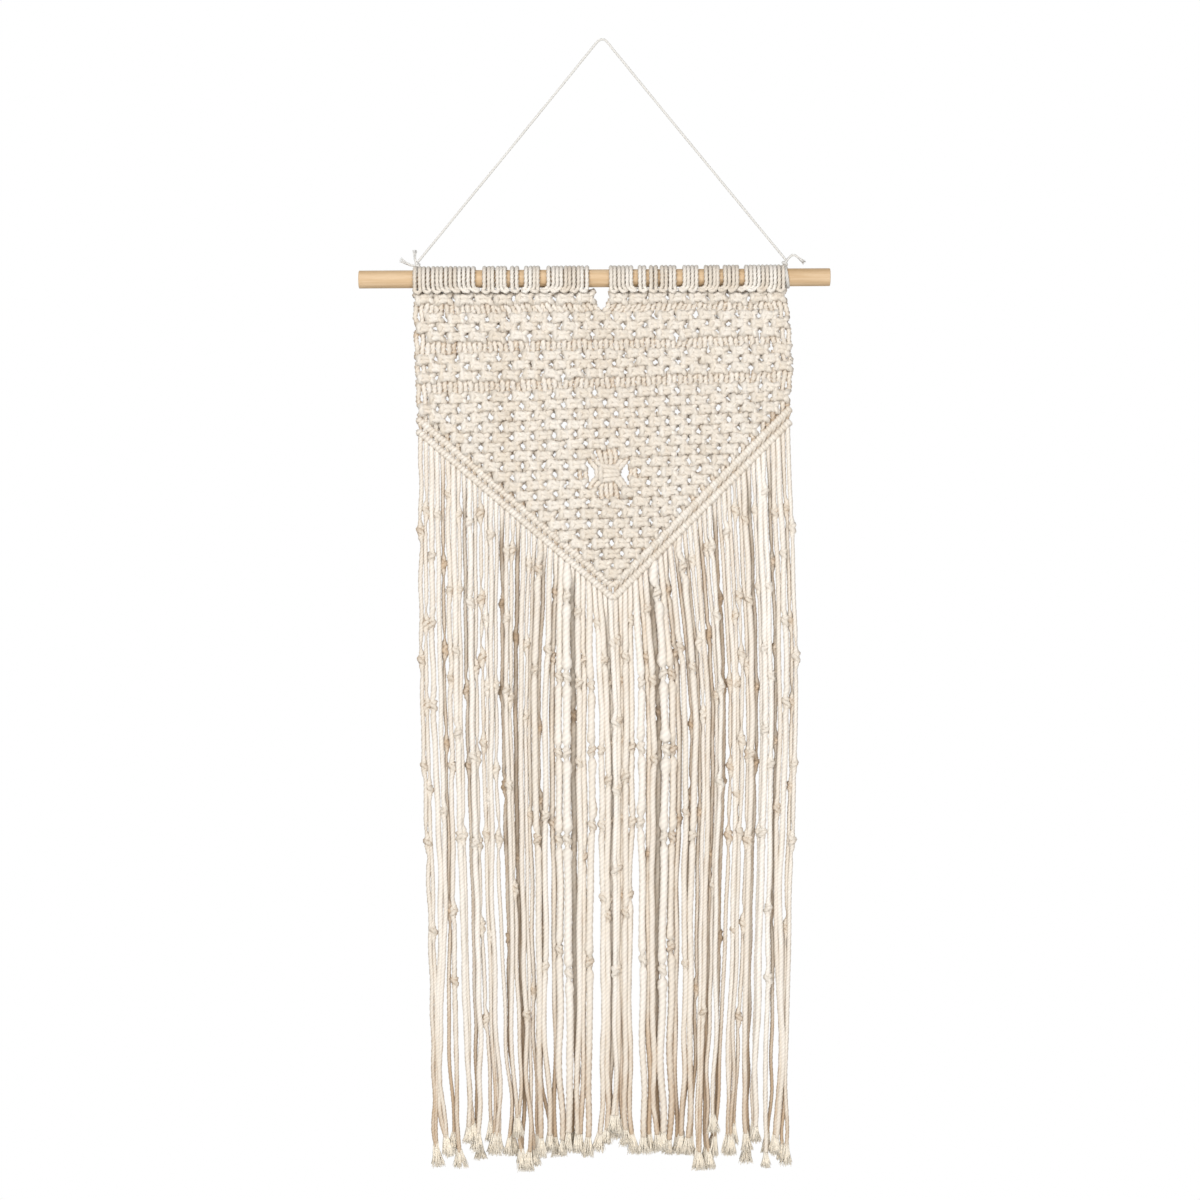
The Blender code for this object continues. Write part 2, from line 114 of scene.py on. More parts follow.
world = bpy.data.worlds.new("studio")
world.use_nodes = True
way = add_node(world, "TexCoord").outputs["Generated"]
depth = add_node(world, "SeparateXYZ", {"Vector": way}).outputs["Y"]
light = add_node(
    world,
    "MapRange",
    {"Value": depth},
    {"From Min": WALL_EDGE[0], "From Max": WALL_EDGE[1], "To Min": ROOM_LIGHT},
)
backdrop = world.node_tree.nodes["Background"]
world.node_tree.links.new(light.outputs["Result"], backdrop.inputs["Strength"])
backdrop.inputs["Color"].default_value = (1, 1, 1, 1)
bpy.context.scene.world = world
bpy.context.scene.view_settings.view_transform = "Standard"

bpy.ops.object.select_all(action="DESELECT")
bpy.ops.mesh.primitive_plane_add(size=FLOOR_SIZE, location=(0, 0, FLOOR_Z))
floor = bpy.context.object
floor.name = "floor"
# Floor paint, off-white and matt, which gives soft light back from below.
pale_floor, _ = new_material("pale_floor", {"Base Color": linear("F2F0EC"), "Roughness": 0.9})
floor.data.materials.append(pale_floor)


# Dowel
# A straight round rod of pale pine, sanded and left unfinished, with its ends cut square and their
# edges eased. It hangs a third of a degree out of level, so the right side is a little higher.
low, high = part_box("dowel")
DOWEL_RADIUS = (high.z - low.z) / 2 / MM
DOWEL_Z = (high.z + low.z) / 2 / MM
DOWEL_EASING = 0.7
SLOPE = 0.0052  # rise of the dowel for each mm to the right
SLOPE_TOP, SLOPE_END = 215, 345  # the slope fades out between these depths


def lifted(points):
    """Points of the hanging, raised or lowered with the dowel's slope."""
    points = np.array(points, float)
    share = np.clip((SLOPE_END + points[..., 2]) / (SLOPE_END - SLOPE_TOP), 0, 1)
    points[..., 2] += SLOPE * points[..., 0] * share
    return points


def finish_piece(obj, name, material, slot, *nodes):
    """Names a finished piece, gives it its material, and sets it on the frame in place of CAD nodes."""
    obj.name = obj.data.name = name
    obj.data.materials.clear()
    obj.data.materials.append(material)
    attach(obj, "root")
    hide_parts(*nodes)


bpy.ops.object.select_all(action="DESELECT")
bpy.ops.mesh.primitive_cylinder_add(
    vertices=64,
    radius=DOWEL_RADIUS * MM,
    depth=high.x - low.x,
    location=((high.x + low.x) / 2, 0, DOWEL_Z * MM),
    rotation=(0, math.pi / 2, 0),
)
dowel = bpy.context.object
bpy.ops.object.transform_apply(location=True, rotation=True, scale=True)
easing = dowel.modifiers.new("eased_ends", "BEVEL")
easing.width, easing.segments = DOWEL_EASING * MM, 3
easing.limit_method, easing.angle_limit = "ANGLE", math.radians(40)
bpy.ops.object.modifier_apply(modifier="eased_ends")
bpy.ops.object.shade_smooth_by_angle(angle=math.radians(35))
for vertex in dowel.data.vertices:
    vertex.co.z += SLOPE * vertex.co.x

# Pine, sanded: pale straw wood with grain lines about 4 mm apart and 65 mm long. Its pores are a
# faint relief, drawn 0.7 mm wide, which is coarser than real ones.
pine, shader = new_material("pine_sanded", {"Roughness": 0.52, "IOR": 1.5})
place = add_node(pine, "TexCoord").outputs["Object"]
long_grain = add_node(pine, "Mapping", {"Vector": place}, {"Scale": (7, 120, 120)})
grain = add_node(
    pine,
    "TexNoise",
    {"Vector": long_grain.outputs["Vector"]},
    {"Scale": 2.2, "Detail": 6, "Roughness": 0.62, "Distortion": 0.4},
)
wood = add_node(pine, "ValToRGB", {"Fac": grain.outputs["Fac"]})
wood.color_ramp.elements[0].position, wood.color_ramp.elements[0].color = 0.30, linear("B99971")
wood.color_ramp.elements[1].position, wood.color_ramp.elements[1].color = 0.66, linear("CFB491")
pine.node_tree.links.new(wood.outputs["Color"], shader.inputs["Base Color"])
fine_grain = add_node(pine, "Mapping", {"Vector": place}, {"Scale": (60, 1400, 1400)})
pores = add_node(
    pine, "TexNoise", {"Vector": fine_grain.outputs["Vector"]}, {"Scale": 1.0, "Detail": 2}
)
relief = add_node(
    pine, "Bump", {"Height": pores.outputs["Fac"]}, {"Strength": 0.25, "Distance": 0.0002}
)
pine.node_tree.links.new(relief.outputs["Normal"], shader.inputs["Normal"])
finish_piece(dowel, "wooden_dowel", pine, "dowel_wood", "dowel")


# Hanging cord
# A thin two-ply cotton string. It runs straight from a tie on the dowel over the wall hook to the
# other tie, and bends over the hook in a small round.
TURN = 2 * math.pi
STRING, STRING_PLIES = 2.4, 2
STRING_LAY = 6.5  # mm for one turn of a ply
STRING_GROOVE = 0.8  # its radius between two plies, as a share of its whole radius
STRING_TONE, STRING_STEP = 0.3, 1.1  # step: mm from one section of the mesh to the next
PLY_SHADE = 0.89  # how bright yarn is between two plies: painted shade in the groove
PATCHES = (150, 150, 50)  # for each metre: patches of deeper yarn are 7 mm across and 20 mm down
PATCH_TONE = 0.35  # how much deeper in tone the deepest patch is
TONES = {"light": 0.07, "mid": 0.6, "deep": 0.83}  # the tones that have a cotton's three colours
FIBRES = (40, 0.7, 1)  # fibres round a cord and for each mm along it, drawn coarser than real ones
HANGER_ROUTE = [  # x, z, from the left tie over the wall hook to the right tie
    (-166.1, -201.2), (-146.6, -177.5), (-124.3, -150.2), (-102.1, -123.2), (-80.0, -96.3),
    (-58.0, -69.3), (-36.0, -42.4), (-16.6, -18.5), (-8.4, -8.4), (-4.6, -3.9),
    (-1.9, -1.7), (0.4, -1.1), (2.7, -1.8), (5.2, -4.3), (9.0, -9.1),
    (17.0, -18.9), (36.2, -42.5), (58.1, -69.4), (80.1, -96.3), (102.1, -123.2),
    (124.3, -150.3), (146.6, -177.6), (166.1, -201.3),
]  # fmt: skip


def smooth_curve(rows, fineness=0.5):
    """Close points on a smooth curve through rows of x, y, z, radius and spacing."""
    rows = np.asarray(rows, float)
    span = np.linalg.norm(np.diff(rows[:, :3], axis=0), axis=1)
    slope = np.diff(rows, axis=0) / span[:, None]
    share = (span[:-1] / (span[:-1] + span[1:]))[:, None]
    bends = slope[:-1] * (1 - share) + slope[1:] * share
    tangent = np.vstack([slope[:1], bends, slope[-1:]])
    count = np.ceil(span / fineness).astype(int) + 1
    piece = np.repeat(np.arange(len(span)), count)
    first = np.repeat(np.cumsum(count) - count, count)
    t = ((np.arange(count.sum()) - first) / count[piece])[:, None]
    a, b = rows[piece], rows[piece + 1]
    leave, arrive = tangent[piece] * span[piece, None], tangent[piece + 1] * span[piece, None]
    curve = (1 + 2 * t) * (1 - t) ** 2 * a + t * (1 - t) ** 2 * leave
    curve += t**2 * (3 - 2 * t) * b + t**2 * (t - 1) * arrive
    return np.vstack([curve, rows[-1:]])


def even_sections(curve):
    """The curve again, each section as far from the last as its spacing says. Adds the run along it."""
    lengths = np.linalg.norm(np.diff(curve[:, :3], axis=0), axis=1)
    spacing = (curve[1:, 4] + curve[:-1, 4]) / 2
    run = np.concatenate([[0], np.cumsum(lengths)])
    pace = np.concatenate([[0], np.cumsum(lengths / spacing)])
    places = np.linspace(0, pace[-1], max(round(pace[-1]), 2) + 1)
    return np.stack([np.interp(places, pace, column) for column in (*curve.T, run)], axis=1)


def side_vectors(points):
    """Two unit vectors across the path at each point, which turn as little as they can."""
    along = np.gradient(points, axis=0)
    along /= np.linalg.norm(along, axis=1)[:, None]
    across = np.empty_like(along)
    aside = np.cross(along[0], (0.30, 0.90, 0.31))  # a direction in which no cord starts
    for number, tangent in enumerate(along):
        aside = aside - tangent * (aside @ tangent)
        aside = aside / math.sqrt(aside @ aside)
        across[number] = aside
    return across, np.cross(along, across)


def twisted_cord(rows, plies, groove, lay, ply_corners=2):
    """The corners of a twisted cord, section by section, and the run along it. Rows hold x, y, z,
    radius and spacing. Each ply is a ridge, whose first corner is its top, between two grooves."""
    sections = even_sections(smooth_curve(rows))
    points, radius, run = sections[:, :3], sections[:, 3], sections[:, 5]
    across, other = side_vectors(points)
    corner = np.arange(ply_corners * plies)
    turn = TURN * corner / len(corner) + TURN * run[:, None] / lay
    reach = radius[:, None] * (groove + (1 - groove) * np.abs(np.cos(math.pi * corner / ply_corners)))
    offset = np.cos(turn)[..., None] * across[:, None] + np.sin(turn)[..., None] * other[:, None]
    return lifted(points[:, None] + reach[..., None] * offset), run


def cords_object(cords):
    """One mesh of many cords. Each cord is its corners, the run along it, and its tone, about 0 for
    pale and 1 for deep, as one number or one for each corner."""
    corners, faces, uvs, tones, base = [], [], [], [], 0
    for rings, run, tone in cords:
        count, sides = rings.shape[:2]
        corners.append(rings.reshape(-1, 3))
        index = base + np.arange(count * sides).reshape(count, sides)
        beside = np.roll(index, -1, axis=1)
        quads = np.stack([index[:-1], beside[:-1], beside[1:], index[1:]], axis=-1)
        faces += quads.reshape(-1, 4).tolist()
        faces += [index[0, ::-1].tolist(), index[-1].tolist()]
        side = np.arange(sides) / sides
        u = np.stack([side, side + 1 / sides, side + 1 / sides, side], axis=-1)
        v = np.stack([run[:-1], run[:-1], run[1:], run[1:]], axis=-1)
        each = (count - 1, sides, 4)
        places = np.broadcast_to(u, each), np.broadcast_to(v[:, None], each)
        uvs.append(np.stack(places, axis=-1).reshape(-1, 2))
        uvs.append(np.stack([np.tile(side, 2), np.repeat(run[[0, -1]], sides)], axis=-1))
        tones.append(np.broadcast_to(tone, (count, sides)).ravel())
        base += count * sides
    mesh = bpy.data.meshes.new("cords")
    mesh.from_pydata((np.concatenate(corners) * MM).tolist(), [], faces)
    mesh.uv_layers.new(name="along_cord").uv.foreach_set("vector", np.concatenate(uvs).ravel())
    mesh.attributes.new("tone", "FLOAT", "POINT").data.foreach_set("value", np.concatenate(tones))
    mesh.shade_smooth()
    obj = bpy.data.objects.new("cords", mesh)
    bpy.context.scene.collection.objects.link(obj)
    return obj


def cotton(name, light, mid, deep, plies, fibre_depth):
    """Unbleached cotton yarn, twisted: matt and a little fuzzy, with fine fibres along it and painted
    shade in the groove between two plies. Some cords are deeper in colour than others, and so are
    patches."""
    material, shader = new_material(
        name,
        {"Roughness": 0.92, "Sheen Weight": 0.25, "Sheen Roughness": 0.5, "Specular IOR Level": 0.2},
    )
    place = add_node(material, "TexCoord").outputs["Object"]
    patch_place = add_node(material, "Mapping", {"Vector": place}, {"Scale": PATCHES})
    patches = add_node(
        material, "TexNoise", {"Vector": patch_place.outputs["Vector"]}, {"Scale": 1.0, "Detail": 3}
    )
    tone = add_node(material, "Attribute", attribute_name="tone").outputs["Fac"]
    patchy = {0: patches.outputs["Fac"], 2: tone}
    uneven = add_node(material, "Math", patchy, {1: PATCH_TONE}, operation="MULTIPLY_ADD")
    ramp = add_node(material, "ValToRGB", {"Fac": uneven.outputs[0]})
    first, last = ramp.color_ramp.elements
    first.position, first.color = TONES["light"], linear(light)
    last.position, last.color = TONES["deep"], linear(deep)
    ramp.color_ramp.elements.new(TONES["mid"]).color = linear(mid)
    cord_place = add_node(material, "UVMap", uv_map="along_cord").outputs["UV"]
    around = add_node(material, "SeparateXYZ", {"Vector": cord_place}).outputs["X"]
    # Painted shade: the yarn is darkened in the groove between two plies, by its place round the cord.
    turned = add_node(material, "Math", {0: around}, {1: TURN * plies}, operation="MULTIPLY")
    height = add_node(material, "Math", {0: turned.outputs[0]}, operation="COSINE")
    shade = add_node(
        material, "MapRange", {"Value": height.outputs[0]}, {"From Min": -1, "To Min": PLY_SHADE}
    )
    shaded = {0: ramp.outputs["Color"], 3: shade.outputs["Result"]}
    yarn = add_node(material, "VectorMath", shaded, operation="SCALE")
    material.node_tree.links.new(yarn.outputs["Vector"], shader.inputs["Base Color"])
    fibre_place = add_node(material, "Mapping", {"Vector": cord_place}, {"Scale": FIBRES})
    fibres = add_node(
        material, "TexNoise", {"Vector": fibre_place.outputs["Vector"]}, {"Scale": 1.0, "Detail": 3}
    )
    relief = add_node(
        material, "Bump", {"Height": fibres.outputs["Fac"]}, {"Strength": 0.7, "Distance": fibre_depth}
    )
    material.node_tree.links.new(relief.outputs["Normal"], shader.inputs["Normal"])
    return material


def string_piece(rows):
    """The string along these rows, as a cord."""
    return *twisted_cord(rows, STRING_PLIES, STRING_GROOVE, STRING_LAY, ply_corners=4), STRING_TONE


# Cotton string, spun hard and thin: greyer and smoother to the eye than the thick cords.
string_cotton = cotton("cotton_string", "E2E0DC", "D4D1CC", "B9B5AF", STRING_PLIES, 0.0002)
route = [(x, 0, z, STRING / 2, STRING_STEP) for x, z in HANGER_ROUTE]
hanging_cord = cords_object([string_piece(route)])
finish_piece(hanging_cord, "hanging_string", string_cotton, "hanging_string", "hanging_cord")
route_line = lifted(smooth_curve(route)[:, :3]) * MM


# Ties
# Each end of the string goes twice round the dowel and is knotted hard on top of it. The cut ends
# stand out from the knot and have begun to untwist.
TIES = {  # x of the wraps at the front, from the knot down, and the place of the knot
    "left": {"wraps": (-166.4, -169.4), "knot": (-165.8, -1.2, -204.6)},
    "right": {"wraps": (163.6, 168.4), "knot": (164.4, -1.2, -204.0)},
}
TIE_STEP = 0.9  # mm from one section of the mesh to the next
TIE_BITE = 0.2  # how far the string is drawn into the wood
TIE_KNOT_SIZE = (0.72, 0.72, 0.62)  # of the knot, beside an overhand knot of the thick cord
TAIL_LEAN = 0.3  # how much further forward each next place of a loose end is
# The untwisted end of each string: its length, how far its yarns fan out, and the yarns.
FRAY = {"length": 7.0, "spread": 2.6, "yarns": 24, "radius": 0.5, "tone": -0.1}
YARN_ROOT = 3.0  # how far inside the cord a loose yarn starts
YARN_MIDDLE = 0.45  # how far out its middle is, as a share of its length
YARN_LENGTHS = (0.8, 1.05)  # the least and the most, as shares of the length of the fan
YARN_TAPER = (1, 0.9, 0.3)  # its thickness at its root, middle and tip
YARN_STEP, YARN_LAY = 3.0, 60.0
YARN_BEND = 0.07  # how much it bends, as a share of the spread of the fan
FAN_DEPTH = 0.6  # depth of the fan, as a share of its width
AROUND = (0, 6.283)  # in radians, once round
TAILS = {  # x, z of each loose end, from the knot out
    "left": [
        [(-165.8, -204.6), (-170.5, -204.1), (-173.4, -203.2), (-175.6, -202.0)],
        [(-165.8, -204.6), (-167.5, -201.2), (-168.1, -199.0), (-168.2, -197.0)],
    ],
    "right": [
        [(164.4, -204.0), (168.4, -198.6), (171.4, -196.4), (174.6, -197.2), (177.0, -199.2)],
    ],
}
OVERHAND = np.array([  # x, y, z round the middle of a cord's overhand knot, from the top down
    (-0.3, 0.2, 5.2), (-0.8, 0.3, 3.6), (-0.8, 0.3, 1.0), (-0.8, 0.3, -1.6), (0.2, 1.2, -3.0),
    (2.2, 0.6, -2.2), (2.2, -1.4, -0.8), (0.0, -2.3, 0.3), (-2.4, -1.2, 1.2), (-2.3, 1.2, 2.0),
    (0.0, 2.3, 2.6), (2.0, 1.2, 2.8), (1.2, 0.0, 1.8), (0.9, 0.0, 0.0), (0.6, 0.0, -2.2),
    (0.2, 0.0, -5.0),
])  # fmt: skip


def wraps_on_dowel(front_top, front_bottom, turns):
    """Places of a string wound round the dowel, from its top over the front."""
    reach = DOWEL_RADIUS + STRING / 2 - TIE_BITE
    places = []
    for turn in np.linspace(0, turns, 12 * turns + 1):
        angle = TURN * turn
        down = (1 - math.cos(angle)) / 2
        x = front_top + (front_bottom - front_top) * (down * 0.5 + turn / turns * 0.5)
        places.append((x, -reach * math.sin(angle), DOWEL_Z + reach * math.cos(angle)))
    return places


def frayed(tip, way, length, spread, yarns, radius, tone):
    """The unravelled end of a cord: thin yarns that fan out from its tip, along one way. Each yarn
    has three sides and hardly turns."""
    way = np.array(way) / np.linalg.norm(way)
    aside = np.cross(way, (0, 1, 0))
    ahead = np.cross(way, aside)
    cords = []
    for _ in range(yarns):
        angle, share = random.uniform(*AROUND), math.sqrt(random.uniform(0, 1))
        fan = spread * share * (math.cos(angle) * aside + FAN_DEPTH * math.sin(angle) * ahead)
        reach = length * random.uniform(*YARN_LENGTHS)
        bend = random.normal(0, YARN_BEND * spread, 3)
        root = tip - way * YARN_ROOT + fan / 4
        middle = tip + way * reach * YARN_MIDDLE + fan / 2 + bend
        places = (root, middle, tip + way * reach + fan)
        rows = [(*place, radius * size, YARN_STEP) for place, size in zip(places, YARN_TAPER)]
        yarn = twisted_cord(rows, plies=3, groove=1.0, lay=YARN_LAY, ply_corners=1)
        cords.append((*yarn, tone))
    return cords


def string_tie(side):
    """The wraps, the knot and the loose ends of one tie, as cords."""
    tie = TIES[side]
    knot = np.array(tie["knot"])
    ball = knot + OVERHAND[1:-1] * TIE_KNOT_SIZE
    wound = wraps_on_dowel(*tie["wraps"], turns=2)
    paths = [wound, ball]
    for tail in TAILS[side]:
        paths.append([(x, knot[1] - TAIL_LEAN * step, z) for step, (x, z) in enumerate(tail)])
    cords = [string_piece([(*place, STRING / 2, TIE_STEP) for place in path]) for path in paths]
    for path in paths[2:]:
        end, before = np.array(path[-1]), np.array(path[-2])
        cords += frayed(end, end - before, **FRAY)
    return cords


for side in ("left", "right"):
    finish_piece(
        cords_object(string_tie(side)), f"{side}_tie", string_cotton, "hanging_string", f"tie_{side}"
    )


# Lark's heads
# Each of the 36 cords is folded in two and hung over the dowel. Its fold comes down in front and is
# drawn tight across the two strands behind it, so a row of short bars runs under the dowel.
HEAD_RADIUS, HEAD_STEP = 2.15, 1.3
HEAD_TONE = (0.1, 0.4)  # the least and the most
HEAD_PLAY = 0.25  # mm that a head may lie aside or lower
PLIES, LAY = 3, 11.5  # lay: mm for one turn of a ply
GROOVE = 0.74  # radius of the cord between two plies, as a share of its whole radius
SIDE_HEADS = 18
BARS = {"left": (-170.0, -12.0), "right": (6.3, 164.7)}  # x of the two rows of bars
BAR_END = (0.3, -7.4, -11.3)  # how far from its middle, in distances between bars, then y and z
BAR_MIDDLE = (-8.4, -12.6)  # y, z. Each z here and below is from the dowel's middle
BAR_DROPS = -9  # what is lower than this may lie lower yet
HEADS = {  # groups of heads on the dowel: start, end, heads
    "left": [
        (-170.1, -113.9, 7), (-107.4, -85.0, 3), (-82.4, -74.9, 1), (-70.2, -55.5, 2),
        (-49.5, -12.0, 5),
    ],
    "right": [
        (6.3, 27.8, 3), (32.4, 39.4, 1), (42.7, 49.7, 1), (52.7, 66.4, 2), (72.6, 86.3, 2),
        (92.0, 105.8, 2), (109.2, 122.9, 2), (128.0, 164.7, 5),
    ],
}  # fmt: skip
# Half of a head, from behind its bar up the back of the dowel, over it and down the front: how far
# the strand has left its place at the bar for its place on the dowel, then y and z.
HALF_HEAD = [
    (0.0, 1.8, -13.6), (0.1, 3.2, -11.6), (0.4, 5.8, -9.6), (0.9, 8.6, -5.4), (1.0, 9.7, 0.0),
    (1.0, 6.9, 6.9), (1.0, 0.0, 9.7), (1.0, -6.9, 6.9), (1.0, -9.7, 0.0), (1.0, -9.0, -5.2),
    (0.8, -7.4, -9.0),
]  # fmt: skip


def bar_places(side):
    """x of each bar of one side, and the distance between two."""
    start, end = BARS[side]
    pitch = (end - start) / SIDE_HEADS
    return start + pitch * (np.arange(SIDE_HEADS) + 0.5), pitch


def larks_head(bar_x, pitch, strands):
    """One folded cord: up behind, over the dowel, across as the bar, and back the same way."""
    halves = []
    for side, strand_x in zip((-1, 1), strands):
        low_x = bar_x + side * pitch / 4
        sway = random.normal(0, HEAD_PLAY)
        half = [(low_x + (strand_x - low_x) * share + sway * share, y, z) for share, y, z in HALF_HEAD]
        half.append((bar_x + side * pitch * BAR_END[0], *BAR_END[1:]))
        halves.append(half)
    places = halves[0] + [(bar_x, *BAR_MIDDLE)] + halves[1][::-1]
    drop = random.normal(0, HEAD_PLAY)
    return [(x, y, DOWEL_Z + z + drop * (z < BAR_DROPS), HEAD_RADIUS, HEAD_STEP) for x, y, z in places]


def heads_of(side):
    """The lark's heads of one side, as cords."""
    cords, number = [], 0
    bars, pitch = bar_places(side)
    for start, end, heads in HEADS[side]:
        strands = start + (end - start) * (np.arange(2 * heads) + 0.5) / (2 * heads)
        for head in range(heads):
            rows = larks_head(bars[number], pitch, strands[2 * head : 2 * head + 2])
            cords.append((*twisted_cord(rows, PLIES, GROOVE, LAY), random.uniform(*HEAD_TONE)))
            number += 1
    return cords


# Three-ply cotton cord, undyed: soft warm white, deeper and browner at random and near the fringe's
# ends, and where shade is painted into it.
natural_cotton = cotton("cotton_three_ply", "F3EFE9", "DCD1C2", "BEA68B", PLIES, 0.0003)
for side in ("left", "right"):
    finish_piece(
        cords_object(heads_of(side)),
        f"{side}_larks_heads",
        natural_cotton,
        "cotton_cord",
        f"heading_{side}",
    )


# Knotted panel
# The 72 strands are tied in rows of square knots, four strands a knot, each row half a knot aside
# from the last. Three bands are left unknotted, and one knot gathers eight strands in the middle.
SIDE_STRANDS = 2 * SIDE_HEADS
STRANDS = 2 * SIDE_STRANDS
CORD_RADIUS, CORD_STEP = 2.6, 1.5
KNOT_RADIUS, KNOT_STEP = 3.2, 1.35  # cord opens out where it is knotted
PANEL_TONE = (0.2, 0.4)  # the least and the most, before the painted crevice shade is added
STRANDS_START = (1.8, -13.6)  # y and z behind the bars, z from the dowel's middle
LEFT_EDGE = ((232, 344), (-170.0, -166.0))  # depths, and x of the panel's edge there
RIGHT_EDGE = ((232, 262, 300, 344), (166.5, 169.8, 171.4, 169.2))
MIDDLE = (240, -0.5, 0.0402)  # a depth, x of its middle there, and how far that leans for each mm
HALVES_APART = ((222, 252), (10, 0))  # depths, and how far each half hangs from the middle there
PITCH, HALF_KNOT = 4.8, 4.4  # mm between strands and half a knot's height, as drawn below
KNOT_SPAN = 3.8  # strands across which a knot's width is taken
ROWS = [  # depth, first strand of the first knot, half of a knot's height, extra tilt of the row
    (233.8, 0, 4.9, 0.002), (252.0, 2, 4.1, 0.008), (260.1, 0, 4.05, 0.012),
    (268.2, 2, 4.05, 0.017), (287.5, 0, 3.95, 0.028), (295.2, 2, 3.95, 0.028),
    (303.3, 0, 3.95, 0.030),
]  # fmt: skip
V_ROWS, V_DEPTH, V_PITCH, V_HALF_KNOT, V_TILT = 19, 322.7, 9.04, 4.5, 0.037
ROWS += [(V_DEPTH + V_PITCH * row, 2 - 2 * (row % 2), V_HALF_KNOT, V_TILT) for row in range(V_ROWS)]
TILT_X = -80.0  # where a row has the depth above
# How much the knots differ: in mm aside, in radians, as shares of depth and height, and in mm for
# each place of a strand.
UNEVEN = {"aside": 0.5, "turn": 0.09, "deep": 0.08, "high": 0.03, "strand": 0.16}
FIRST_ROW_WIDER = 1.12  # the knots right under the heads are looser
LEAST_CLEARANCE = 14.5  # from the middle of a knot down to the seam of the V
V_LEFT, V_TIP, V_RIGHT = (-165.6, -348.3), (9.9, -498.6), (169.2, -339.1)  # x, z of the seam
GATHER_ROW, GATHERED, GATHER_PLACE = 15, range(32, 40), 36  # the large knot: row, strands, middle
GATHERED_DEPTH, GATHERED_Y, GATHERED_RADIUS, GATHERED_STEP = 0.8, -0.6, 2.8, 1.3
OPEN_BANDS = {0: 243.4, 3: 278.0, 6: 313.2}  # row above each unknotted band: its depth
PAIR_SQUEEZE = 0.3  # how far each strand of a pair leans to the other there
BAND_Y = (-1.6, -0.4)  # of the two strands of a pair there
BAND_RADIUS = 0.88  # as a share of the radius in the knots
EDGE_LOOPS = {0: -1.0, 1: 0.9, 70: -0.9, 71: 0.6}  # strand at the edge: how far right it hangs loose
EDGE_LOOPS_END, EDGE_LOOPS_Y = 340, -0.5  # no such loop is deeper down than this
CREVICE_SHADE, CREVICE_REACH = 0.16, 2.6  # painted shade: deeper tone for each mm that yarn is nearer the middle than this
BESIDE_GATHERED = {30: 0.4, 31: 0.9, 40: 0.4}  # strand: how far right the large knot pulls it
BESIDE_Y = 0.2
# Row: places of the knots that the large one leaves no room for.
LEFT_OUT = {13: [36], 14: [34, 38], 15: [32, 36, 40], 16: [34, 38], 17: [36]}
ABOVE_SEAM = ((9.5, -0.3), (6.0, 1.4))  # a strand's last places: how far above the V, and y
LEAST_STEP = 2  # mm down to such a place, or it is left out
# Upper half of each strand's way through a square knot: left worker, left core, right core and
# right worker. The lower half mirrors it.
SQUARE = [
    [
        (-7.2, 0.2, 4.4), (-6.9, -0.9, 3.3), (-4.4, -2.6, 2.2), (0.0, -4.0, 1.65), (2.8, -3.1, 1.55),
        (4.6, -1.2, 1.0), (5.3, 0.0, 0.0),
    ],
    [(-2.3, 0.2, 4.4), (-2.0, 0.3, 2.6), (-1.9, 0.3, 0.0)],
    [(2.3, 0.2, 4.4), (2.0, 0.3, 2.6), (1.9, 0.3, 0.0)],
    [
        (7.2, 0.2, 4.4), (6.7, -1.5, 3.5), (5.1, -3.4, 2.4), (4.0, -0.6, 0.7), (2.2, 3.0, 0.9),
        (-0.6, 3.8, 2.2), (-3.0, 2.2, 3.8), (-4.5, -1.2, 4.2), (-5.0, -3.6, 2.6), (-5.2, -4.2, 0.0),
    ],
]  # fmt: skip
SQUARE = [np.array(half + [(x, y, -z) for x, y, z in half[-2::-1]]) for half in SQUARE]
# The same for the large knot: its two left workers, four cores and two right workers.
LARGE_SQUARE = [
    [
        (-16.2, 0.2, 11.0), (-13.0, -1.2, 6.8), (-9.6, -3.2, 3.4), (-5.0, -4.6, 2.2), (0.0, -5.0, 1.9),
        (5.0, -4.4, 1.8), (8.6, -2.4, 1.3), (9.8, -0.6, 0.0),
    ],
    [
        (-12.4, 0.4, 13.4), (-9.8, -0.6, 9.6), (-6.2, -3.0, 6.6), (0.0, -4.2, 5.6), (5.2, -3.2, 5.2),
        (8.6, -0.6, 3.6), (9.2, 2.4, 0.0),
    ],
    [(-6.8, -0.6, 13.4), (-5.0, 0.2, 7.6), (-4.6, 0.4, 0.0)],
    [(-2.3, -0.2, 13.4), (-1.7, 1.2, 7.6), (-1.5, 0.4, 0.0)],
    [(2.6, -0.6, 13.4), (1.9, 0.2, 7.6), (1.6, 0.4, 0.0)],
    [(7.0, -0.2, 13.4), (5.2, 1.2, 7.6), (4.7, 0.4, 0.0)],
    [
        (12.4, 0.4, 13.4), (9.8, -1.6, 9.6), (8.0, -2.8, 7.0), (5.0, 2.4, 5.0), (-1.0, 5.0, 5.0),
        (-5.6, 3.2, 6.6), (-6.6, -2.2, 7.0), (-6.8, -5.6, 4.4), (-6.9, -6.2, 0.0),
    ],
    [
        (16.8, 0.2, 12.8), (13.0, -1.4, 8.2), (10.6, -2.8, 4.8), (7.6, 2.6, 2.6), (0.0, 5.6, 2.6),
        (-8.4, 3.4, 4.4), (-10.2, -0.8, 4.8), (-10.3, -4.0, 2.8), (-10.3, -4.6, 0.0),
    ],
]  # fmt: skip
LARGE_SQUARE = [np.array(half + [(x, y, -z) for x, y, z in half[-2::-1]]) for half in LARGE_SQUARE]


